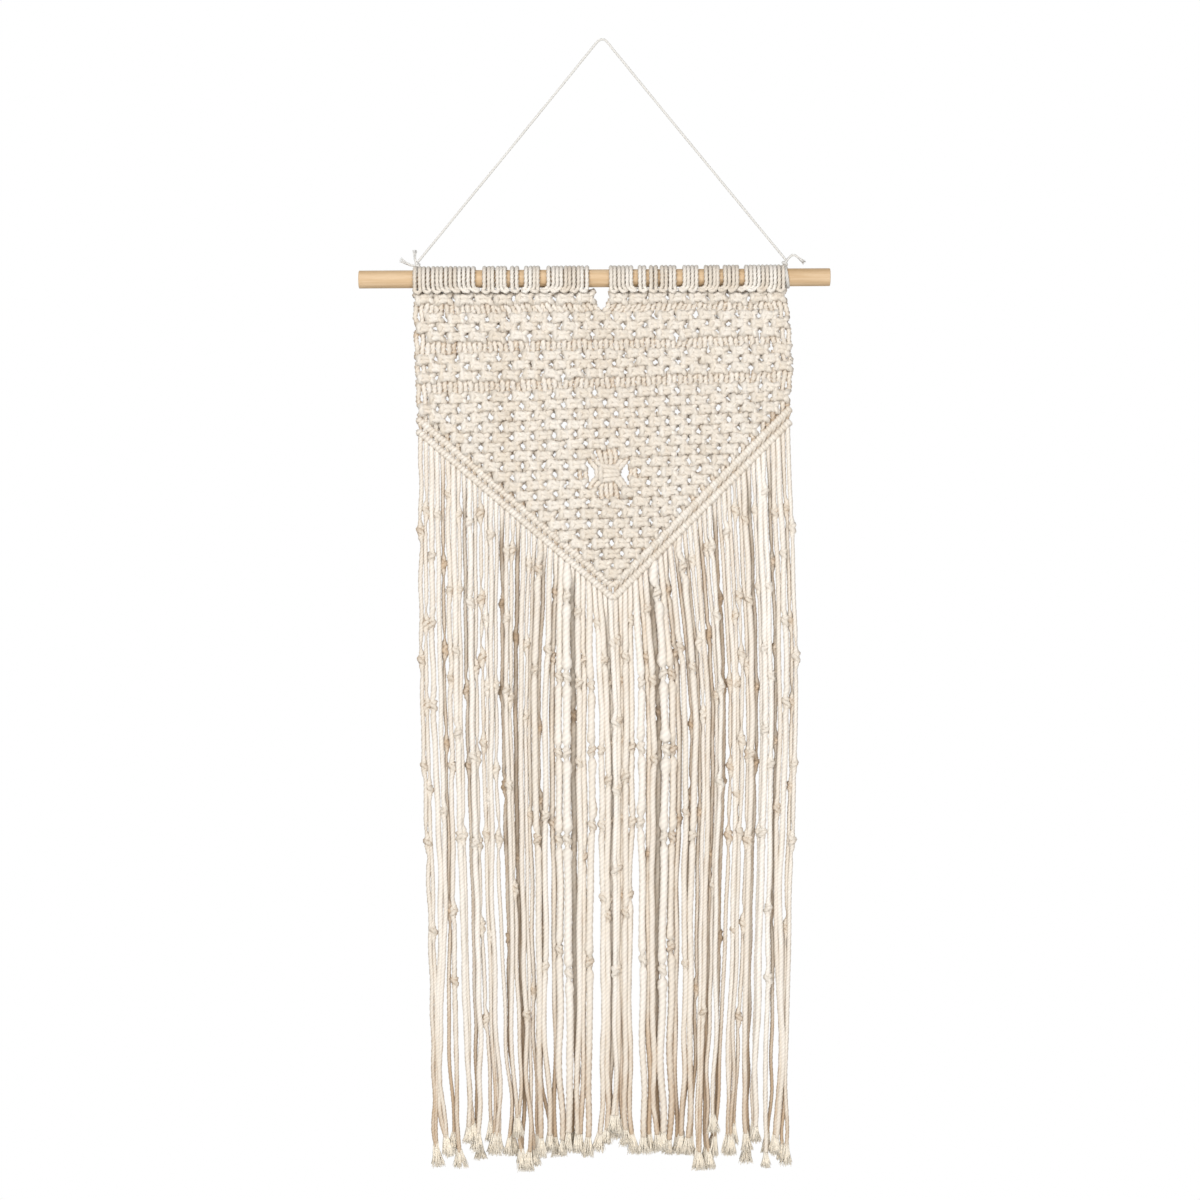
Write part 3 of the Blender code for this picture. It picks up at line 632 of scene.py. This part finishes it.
def column(strand, depth):
    """x of a place across the panel, counted in strands from its left edge. The two halves, which
    hang a little apart on the dowel, meet some way down."""
    left, right = np.interp(depth, *LEFT_EDGE), np.interp(depth, *RIGHT_EDGE)
    middle = MIDDLE[1] + MIDDLE[2] * (depth - MIDDLE[0])
    apart = np.interp(depth, *HALVES_APART) * (-1 if strand < SIDE_STRANDS else 1)
    x = np.interp(strand, (0, SIDE_STRANDS, STRANDS), (left, middle, right))
    return x + apart * (1 - abs(strand - SIDE_STRANDS) / SIDE_STRANDS)


def seam_point(strand):
    """x, z on the seam of the V where a strand meets it, and the seam's direction and upward normal."""
    share = strand / SIDE_STRANDS
    start, end = (V_LEFT, V_TIP) if share < 1 else (V_TIP, V_RIGHT)
    start, end = np.array(start), np.array(end)
    along = (end - start) / np.linalg.norm(end - start)
    return start + (end - start) * (share % 1), along, np.array((-along[1], along[0]))


def knot_centre(row, place):
    """x and z of a knot of a row, place being counted in strands."""
    depth, _, _, tilt = ROWS[row]
    x = float(column(place, depth))
    return x, -depth + tilt * (x - TILT_X)


def clears_seam(row, place):
    """Whether there is room for this knot above the V."""
    x, z = knot_centre(row, place)
    ends = (V_LEFT, V_TIP, V_RIGHT)
    return z - np.interp(x, [end[0] for end in ends], [end[1] for end in ends]) > LEAST_CLEARANCE


def set_knots():
    """The shape of every knot: centre, turn, sizes. The key is its row and its place."""
    knots = {}
    for row, (depth, first, half, _) in enumerate(ROWS):
        for start in range(first, STRANDS - 3, 4):
            place = start + 2
            if place in LEFT_OUT.get(row, ()) or not clears_seam(row, place):
                continue
            wide = column(place + KNOT_SPAN / 2, depth) - column(place - KNOT_SPAN / 2, depth)
            wide /= KNOT_SPAN * PITCH
            wide *= FIRST_ROW_WIDER if row == 0 else 1
            centre = np.array(knot_centre(row, place)) + random.normal(0, UNEVEN["aside"], 2)
            turn = random.normal(0, UNEVEN["turn"])
            deep = random.normal(1, UNEVEN["deep"])
            high = half / HALF_KNOT * random.normal(1, UNEVEN["high"])
            knots[row, place] = centre, turn, np.array((wide, deep, high))
    return knots


def knot_path(knot, role):
    """Places of one strand through a knot."""
    (x, z), turn, sizes = knot
    places = SQUARE[role] * sizes + random.normal(0, UNEVEN["strand"], SQUARE[role].shape)
    across = places[:, 0] * math.cos(turn) - places[:, 2] * math.sin(turn)
    up = places[:, 0] * math.sin(turn) + places[:, 2] * math.cos(turn)
    return [(x + a, y, z + b, KNOT_RADIUS, KNOT_STEP) for a, y, b in zip(across, places[:, 1], up)]


def gathered_path(strand):
    """Places of one of the eight strands through the large knot in the middle."""
    x, z = knot_centre(GATHER_ROW, GATHER_PLACE)
    way = LARGE_SQUARE[strand - GATHERED[0]] * (1, GATHERED_DEPTH, 1) + (x, GATHERED_Y, z)
    return [(*place, GATHERED_RADIUS, GATHERED_STEP) for place in way]


def crevice_shade(rings):
    """Painted crevice shade: how much deeper in tone each corner of a cord is, the nearer it is to the
    panel's middle, where shade falls between the cords.
    """
    return CREVICE_SHADE * np.clip(CREVICE_REACH - np.abs(rings[..., 1]), 0, None)


def strand_path(strand, knots):
    """The whole way of one strand, from behind the bar of its lark's head to the V."""
    bars, pitch = bar_places("left" if strand < SIDE_STRANDS else "right")
    x = bars[strand % SIDE_STRANDS // 2] + (strand % 2 - 0.5) * pitch / 2
    path = [(x, STRANDS_START[0], DOWEL_Z + STRANDS_START[1], CORD_RADIUS, CORD_STEP)]
    seam, _, normal = seam_point(strand + 0.5)
    for row, (depth, first, _, tilt) in enumerate(ROWS):
        role = (strand - first) % 4
        knot = knots.get((row, strand - role + 2))
        if knot:
            path += knot_path(knot, role)
        elif row == GATHER_ROW and strand in GATHERED:
            path += gathered_path(strand)
        elif row == GATHER_ROW and strand in BESIDE_GATHERED:
            x, z = knot_centre(row, strand + 0.5)
            path.append((x + BESIDE_GATHERED[strand], BESIDE_Y, z, CORD_RADIUS, CORD_STEP))
        elif strand in EDGE_LOOPS and first == 2 and depth < EDGE_LOOPS_END:
            x = column(strand + 0.5, depth) + EDGE_LOOPS[strand]
            z = -depth + tilt * (x - TILT_X)
            path.append((x, EDGE_LOOPS_Y, z, CORD_RADIUS, CORD_STEP))
        if row in OPEN_BANDS:
            x = column(strand + 0.5, OPEN_BANDS[row]) + PAIR_SQUEEZE * (1 if strand % 2 == 0 else -1)
            z = -OPEN_BANDS[row] + tilt * (x - TILT_X)
            path.append((x, BAND_Y[strand % 2], z, KNOT_RADIUS * BAND_RADIUS, CORD_STEP))
    for out, y in ABOVE_SEAM:
        x, z = seam + (0, out / normal[1])
        if path[-1][2] > z + LEAST_STEP:
            path.append((x, y, z, CORD_RADIUS, CORD_STEP))
    return path


knots = set_knots()
for side, first in (("left", 0), ("right", SIDE_STRANDS)):
    cords = []
    for strand in range(first, first + SIDE_STRANDS):
        rings, run = twisted_cord(strand_path(strand, knots), PLIES, GROOVE, LAY)
        # Each strand's tone gets painted shade in the crevices near the panel's middle.
        cords.append((rings, run, random.uniform(*PANEL_TONE) + crevice_shade(rings)))
    finish_piece(cords_object(cords), f"{side}_panel", natural_cotton, "cotton_cord", "panel")


# Diagonal hitches
# Under the knots two rows of clove hitches run down from each side and meet at the tip of the V. In
# each row every strand goes twice round a core cord that is laid along the row.
ROW_OFFSET = 4.1  # from the seam to the middle of each row
WRAP_RADIUS, WRAP_REACH, WRAP_GROOVE, WRAP_STEP = 2.45, 1.65, 0.9, 1.1
WRAP_TURN = [80, 140, 400, 500, 760, 900]  # degrees round the core, from its top over the back
WRAP_SHIFT = [0, -0.27, -0.23, 0.23, 0.27, 0]  # shares of a strand's place along the row
TURN_STEP = 20  # degrees from one place of a wrap to the next
LINK = ((0.0, 0.6, 0.78), (2.2, 1.4, 0.8))  # between the rows: mm under the seam, y, share of radius
HITCH_TONE, HITCH_CREVICE_SHADE = (0.15, 0.35), 0.75  # the wraps get less painted crevice shade than the knots do
CORE_RADIUS, CORE_STEP, CORE_TONE = 1.4, 1.8, 0.3
CORE_START = 1.5  # how far a core cord stands out at the start of its row


def hitch(strand, offset):
    """One strand's two turns round the core cord of a row, and from the upper row on to the lower."""
    seam, along, normal = seam_point(strand + 0.5)
    down, corner = (along, V_LEFT) if strand < SIDE_STRANDS else (-along, V_RIGHT)
    share = np.linalg.norm(np.subtract(V_TIP, corner)) / SIDE_STRANDS
    axis = seam + (0, offset / normal[1])
    rows = []
    for turn in range(WRAP_TURN[0], WRAP_TURN[-1] + 1, TURN_STEP):
        angle = math.radians(turn)
        shift = np.interp(turn, WRAP_TURN, WRAP_SHIFT) * share
        x, z = axis + normal * WRAP_REACH * math.cos(angle) + down * shift
        rows.append((x, WRAP_REACH * math.sin(angle), z, WRAP_RADIUS, WRAP_STEP))
    for under, y, thick in LINK if offset > 0 else ():
        rows.append((seam[0], y, seam[1] - under / normal[1], WRAP_RADIUS * thick, WRAP_STEP))
    return rows


def core_cord(start, end, offset):
    """The cord along one row."""
    start, end = np.array(start), np.array(end)
    along = (end - start) / np.linalg.norm(end - start)
    rise = np.array((0, offset / along[0]))
    places = [start + rise - along * CORE_START, (start + end) / 2 + rise, end + rise]
    return [(x, 0, z, CORE_RADIUS, CORE_STEP) for x, z in places]


cords = []
for offset in (ROW_OFFSET, -ROW_OFFSET):
    for strand in range(STRANDS):
        rings, run = twisted_cord(hitch(strand, offset), PLIES, WRAP_GROOVE, LAY)
        # The wraps' tone gets painted crevice shade too, a little weaker.
        tone = random.uniform(*HITCH_TONE) + HITCH_CREVICE_SHADE * crevice_shade(rings)
        cords.append((rings, run, tone))
    for start, end in ((V_LEFT, V_TIP), (V_TIP, V_RIGHT)):
        core = twisted_cord(core_cord(start, end, offset), PLIES, GROOVE, LAY)
        cords.append((*core, CORE_TONE))
finish_piece(cords_object(cords), "diagonal_hitches", natural_cotton, "cotton_cord", "hitch_bar")


# Fringe
# Under the V the 72 strands hang free, in two loose layers, and the outer ones are the longest. Each
# has one or more overhand knots, and its last centimetre and a half is unravelled.
LEVELS = (596, 776, 944)  # depths at which the list below says where each strand hangs
FRINGE_MID = 11.25  # x of the middle, from which the places below count
# The right half mirrors the left, but for this: it hangs further from the middle by the first
# number, its strands lie closer together by the next two, and its knots sit higher by the last.
RIGHT_ASIDE, RIGHT_SHARE, RIGHT_LOSS, RIGHT_RISE = 3.6, 0.975, 0.0003, 2.7
# A row for each strand of the left half, from the outer edge in: how far from the middle it hangs
# at the three levels and at its tip, the depth of the tip, its radius, how far it hangs behind the
# others from 0 to 1, and the depths of its overhand knots.
FRINGE = [
    (172.8, 166.5, 162.5, 161.5, 1013, 2.2, 0.1, (444, 560, 656, 725)),
    (168.8, 163.4, 159.8, 160.6, 1011, 2.1, 0.3, (426, 528, 600, 676, 804)),
    (162.9, 156.2, 157.5, 151.0, 1005, 2.8, 0.1, (467, 527, 602)),
    (156.2, 152.1, 155.7, 149.7, 1002, 2.4, 0.1, (430, 696)),
    (152.6, 148.5, 147.2, 141.8, 1003, 2.0, 0.6, (474, 551, 635, 788)),
    (147.2, 144.9, 141.8, 140.0, 1018, 2.5, 0.0, (412, 497, 577, 656, 785, 849)),
    (141.8, 136.8, 131.4, 129.2, 995, 2.9, 0.0, (552, 626, 721)),
    (138.2, 134.1, 129.6, 128.0, 993, 2.1, 0.2, (429, 497, 716)),
    (132.8, 127.4, 124.2, 122.9, 1012, 2.1, 1.0, (587, 656)),
    (128.3, 123.8, 121.0, 122.0, 1001, 2.8, 0.0, (436, 509, 646, 723)),
    (124.2, 120.6, 112.0, 109.8, 993, 2.1, 0.4, (568, 649, 727, 800, 884)),
    (118.4, 113.9, 108.5, 107.0, 1004, 2.0, 0.1, (428, 505, 558, 635, 717)),
    (114.3, 111.2, 105.8, 104.9, 1005, 2.1, 0.2, (523, 584, 684, 806)),
    (110.7, 109.8, 104.4, 103.6, 1003, 2.4, 0.1, (448,)),
    (106.7, 103.0, 95.0, 92.3, 1005, 2.0, 0.5, (583, 659, 721)),
    (100.4, 95.9, 92.7, 90.0, 1007, 2.3, 1.0, (509, 590, 675, 811)),
    (97.2, 92.3, 90.5, 87.0, 987, 2.3, 0.1, (460, 523, 586, 671)),
    (93.6, 89.6, 84.6, 84.2, 1018, 2.1, 0.3, (464, 595, 766)),
    (89.1, 86.4, 81.9, 82.4, 1017, 2.3, 1.0, (540, 738)),
    (84.2, 82.4, 77.9, 75.2, 1018, 2.5, 0.1, (880,)),
    (79.7, 78.3, 75.2, 73.4, 1017, 2.1, 0.4, (473, 546, 612)),
    (76.1, 74.3, 70.7, 67.5, 1005, 2.1, 0.6, (700, 858)),
    (72.0, 68.0, 67.1, 66.0, 1005, 3.1, 0.0, (479, 569, 721)),
    (68.4, 64.4, 64.4, 57.2, 1003, 2.2, 0.7, (622, 687, 800)),
    (61.7, 62.0, 60.8, 55.8, 1003, 2.8, 0.1, (551, 700, 836)),
    (56.3, 54.5, 53.3, 54.0, 1005, 2.8, 0.8, (500, 558, 707)),
    (50.2, 49.0, 48.7, 46.8, 1007, 3.5, 0.45, (574, 641, 721, 821)),
    (43.0, 41.8, 40.2, 41.0, 1000, 3.8, 0.0, (503, 577, 646, 723, 842)),
    (37.2, 36.0, 35.2, 37.5, 1001, 3.2, 1.0, (610,)),
    (32.0, 31.0, 33.2, 34.7, 1002, 3.0, 0.2, (517, 581, 652)),
    (27.8, 27.3, 28.8, 30.2, 1002, 3.0, 0.5, (560, 737)),
    (21.4, 22.1, 23.2, 24.4, 1004, 3.4, 0.1, (583, 641, 709, 832)),
    (11.6, 10.3, 10.8, 13.4, 1002, 2.9, 0.15, (527, 642, 709, 774)),
    (7.0, 6.4, 6.2, 7.6, 998, 3.0, 0.1, (560, 668, 790)),
    (3.2, 2.9, 2.6, 3.4, 989, 2.8, 0.6, (581, 635, 705, 775, 842)),
    (-0.2, -0.6, -0.4, 0.0, 985, 2.6, 0.0, (545, 617, 678, 750, 839)),
]  # fmt: skip
PAIRED = 6.0  # knots of two neighbours that are closer than this in depth are pulled together
PAIR_APART, PULL_REACH = 7.5, 28  # to this distance, which moves the strands this far up and down
LEAST_PULL = 1e-6
KNOT_SWELL = 2.6  # radius of the cord in its overhand knots
KNOT_HALF, COIL_STEP = 8, 1.1  # how far a knot reaches from its middle, and the step of its mesh
KNOT_SIZES, KNOT_TURN = (1.1, 1.4), 0.9  # beside the shape as drawn, and radians it may be turned
KNOT_SHAPE = (0.62, 0.62, 0.95)  # a knot here is tighter and taller than as drawn
PLACE_STEP, STRAND_STEP = 13, 1.8  # mm from one place of a strand to the next, and for its mesh
UNEVEN_THICK = 0.02  # as a share of its thickness
WAVE_LENGTHS, WAVE_SIZES = (55, 150), (0.15, 0.45)  # of the soft waves that a strand hangs in
WAVE_PHASES = (0, 6.3)
WAVES_FROM = 25  # this far under the V the waves are at their full size, and the layers apart
ROOT_Y, LAYER_PLAY = 0.8, 1.3  # y of a strand at the V, and how far off its layer it may hang
TIP_REACH = 15  # how far up the strand its last direction is taken from
FRINGE_TONE, TONE_PLAY = 0.18, 0.12  # the play is how far off its tone a strand may be
FRINGE_GROOVE, FRINGE_LAY = 0.87, 9.6  # shallower grooves than above, and the lay of a strand
LAY_RADIUS = 2.4  # of this radius: a thicker one has a longer lay
LOW_END_FROM, LOW_END_LENGTH = 860, 150  # from this depth down a strand grows thinner and wavier with wear, and darker in tone:
THINNER, DEEPER, WAVIER = 0.14, 0.34, 3.0  # a share of its radius, tone, times its waves
SIDE_SHADE, SIDE_REACH = 0.2, 1.6  # painted shade round a strand's sides: deeper tone for each mm nearer its middle than this
BEHIND_SHADE, KNOT_SHADE = 0.34, 0.14  # painted shade: deeper tone of a strand at the back, and of a knot
KNOT_SHADE_REACH = 6  # how far up and down from a knot its painted shade goes
ROOT_RADIUS, ROOT_LENGTH = 2.5, 35  # under the V all strands are as thick as each other, and the back ones get no painted shade yet
BRUSH = 15.5  # length of a strand's unravelled end
FRONT, LAYERS = -2.0, 7.0  # y of the front strands, and how far behind them the last ones are
ROOT_DROP = 6.0  # how far under the seam of the V a strand comes out of its last hitch


def fringe_row(strand):
    """x at the seam, at the three levels and at the tip, the depths of these, and of the knots."""
    right = strand >= SIDE_STRANDS
    row = FRINGE[STRANDS - 1 - strand if right else strand]
    away = np.array(row[:4])
    away = RIGHT_ASIDE + away * (RIGHT_SHARE - RIGHT_LOSS * away) if right else -away
    seam, _, _ = seam_point(strand + 0.5)
    xs = [seam[0], *(FRINGE_MID + away)]
    depths = [ROOT_DROP - seam[1], *LEVELS, row[4]]
    rise = RIGHT_RISE if right else 0
    return xs, depths, [knot - rise for knot in row[7]]


def knot_pulls(strand):
    """The depth of each knot of one strand, and how far to the right a paired knot pulls it. A pull
    that isn't 0 marks a knot that has its pair."""
    xs, depths, own = fringe_row(strand)
    pulls = []
    for knot in own:
        pull = 0.0
        for beside in (strand - 1, strand + 1):
            if beside // SIDE_STRANDS != strand // SIDE_STRANDS:
                continue
            other_xs, other_depths, others = fringe_row(beside)
            for other in others:
                if abs(other - knot) < PAIRED and pull == 0:
                    away = np.interp(knot, other_depths, other_xs) - np.interp(knot, depths, xs)
                    pull = math.copysign(max(abs(away) - PAIR_APART, 0) / 2, away) + LEAST_PULL
                    knot = (knot + other) / 2
        pulls.append((knot, pull))
    return pulls


def fringe_strand(strand):
    """The way of one strand of the fringe, with its overhand knots. Returns its rows, its end with
    the way it points there, the lay of its plies, and the depths of its knots."""
    xs, depths, _ = fringe_row(strand)
    radius, behind = FRINGE[min(strand, STRANDS - 1 - strand)][5:7]
    layer = FRONT + LAYERS * behind + random.uniform(-LAYER_PLAY, LAYER_PLAY)
    waves = []
    for _ in range(3):
        length, phase = random.uniform(*WAVE_LENGTHS), random.uniform(*WAVE_PHASES)
        waves.append((length, phase, random.uniform(*WAVE_SIZES)))
    way = smooth_curve([(x, 0, -depth, 0, 1) for x, depth in zip(xs, depths)], fineness=4.0)
    pulls = knot_pulls(strand)
    knots_down = [depth for depth, _ in pulls]

    def place(depth):
        x = np.interp(depth, -way[:, 2], way[:, 0])
        x += sum(pull * math.exp(-(((depth - knot) / PULL_REACH) ** 2)) for knot, pull in pulls)
        share = np.clip((depth - depths[0]) / WAVES_FROM, 0, 1)
        wave = [size * math.sin(AROUND[1] * depth / length + phase) for length, phase, size in waves]
        share *= 1 + WAVIER * np.clip((depth - LOW_END_FROM) / LOW_END_LENGTH, 0, 1)
        y = ROOT_Y + min(share, 1) * (layer - ROOT_Y + wave[2])
        return x + share * (wave[0] + wave[1]), y, -depth

    rows, depth = [], depths[0]
    for knot in [*knots_down, None]:
        stop = depths[-1] - BRUSH if knot is None else knot - KNOT_HALF
        for level in np.linspace(depth, stop, max(int((stop - depth) / PLACE_STEP), 1) + 1):
            toward_end = 1 - THINNER * np.clip((level - LOW_END_FROM) / (depths[-1] - LOW_END_FROM), 0, 1)
            root = np.clip(1 - (level - depths[0]) / ROOT_LENGTH, 0, 1)
            thick = radius * toward_end + (ROOT_RADIUS - radius) * root
            rows.append((*place(level), thick * random.normal(1, UNEVEN_THICK), STRAND_STEP))
        if knot is None:
            break
        turn, size = random.uniform(-KNOT_TURN, KNOT_TURN), random.uniform(*KNOT_SIZES)
        wide, deep, high = KNOT_SHAPE
        mirror = random.choice((-1, 1))
        middle = np.array(place(knot))
        coil = OVERHAND * (mirror * size * wide, size * deep, size * high)
        x = coil[:, 0] * math.cos(turn) - coil[:, 1] * math.sin(turn)
        y = coil[:, 0] * math.sin(turn) + coil[:, 1] * math.cos(turn)
        for a, b, c in zip(x, y, coil[:, 2]):
            rows.append((middle[0] + a, middle[1] + b, middle[2] + c, KNOT_SWELL, COIL_STEP))
        depth = knot + KNOT_HALF
    end, before = np.array(place(stop)), np.array(place(stop - TIP_REACH))
    return rows, (end, end - before), FRINGE_LAY * radius / LAY_RADIUS, knots_down


def fringe_tone(strand, rings, knots_down):
    """How deep in tone each corner of a strand is: darker near its end, and deeper with painted shade
    if it hangs behind, round its sides and in its knots."""
    behind = FRINGE[min(strand, STRANDS - 1 - strand)][6]
    depth = -rings[..., 2]
    toward_end = np.clip((depth - LOW_END_FROM) / LOW_END_LENGTH, 0, 1)
    tone = FRINGE_TONE + random.uniform(-TONE_PLAY, TONE_PLAY) + DEEPER * toward_end
    # Painted shade on a strand that hangs behind the others.
    tone += BEHIND_SHADE * behind * np.clip((depth - depth.min()) / ROOT_LENGTH, 0, 1)
    # Painted shade round the sides of each strand.
    from_middle = np.abs(rings[..., 1] - rings[..., 1].mean(axis=1, keepdims=True))
    tone += SIDE_SHADE * np.clip(SIDE_REACH - from_middle, 0, None)
    # Painted shade in and round each overhand knot.
    for knot in knots_down:
        tone += KNOT_SHADE * np.exp(-(((depth - knot) / KNOT_SHADE_REACH) ** 2))
    return tone


tips = []
for name, node, strands in (
    ("fringe_left_outer", "fringe_left", range(0, 18)),
    ("fringe_left_inner", "fringe_left", range(18, 36)),
    ("fringe_right_inner", "fringe_right", range(36, 54)),
    ("fringe_right_outer", "fringe_right", range(54, 72)),
):
    cords = []
    for strand in strands:
        rows, tip, lay, knots_down = fringe_strand(strand)
        rings, run = twisted_cord(rows, PLIES, FRINGE_GROOVE, lay)
        tone = fringe_tone(strand, rings, knots_down)
        tips.append((*tip, float(tone[-1].mean()), strand))
        cords.append((rings, run, tone))
    finish_piece(cords_object(cords), name, natural_cotton, "cotton_cord", node)


# Frayed ends
# Each strand's end is unravelled into its yarns and combed out by hand, so it ends in a small pale
# brush, two to three times as wide as the cord.
BRUSH_SPREAD, YARNS, YARN_RADIUS = 6.8, 72, 0.74
BRUSH_LENGTHS, BRUSH_SPREADS = (0.85, 1.2), (0.7, 1.15)  # the least and the most, as shares
BRUSH_TONE = 0.3  # as a share of the tone where the strand ends, its painted shade included

# Unravelled cotton: clean yarn from inside the cord, so it is the palest, with no painted shade between
# plies.
loose_cotton = cotton("cotton_unravelled", "F7F0E3", "E9DDC9", "D2BEA0", 0, 0.0002)
for side, strands in (("left", range(SIDE_STRANDS)), ("right", range(SIDE_STRANDS, STRANDS))):
    cords = []
    for tip, way, tone, strand in tips:
        if strand in strands:
            length = BRUSH * random.uniform(*BRUSH_LENGTHS)
            spread = BRUSH_SPREAD * random.uniform(*BRUSH_SPREADS)
            cords += frayed(tip, way, length, spread, YARNS, YARN_RADIUS, tone * BRUSH_TONE)
    brushes = cords_object(cords)
    finish_piece(brushes, f"{side}_frayed_ends", loose_cotton, "cotton_cord", f"fringe_{side}")
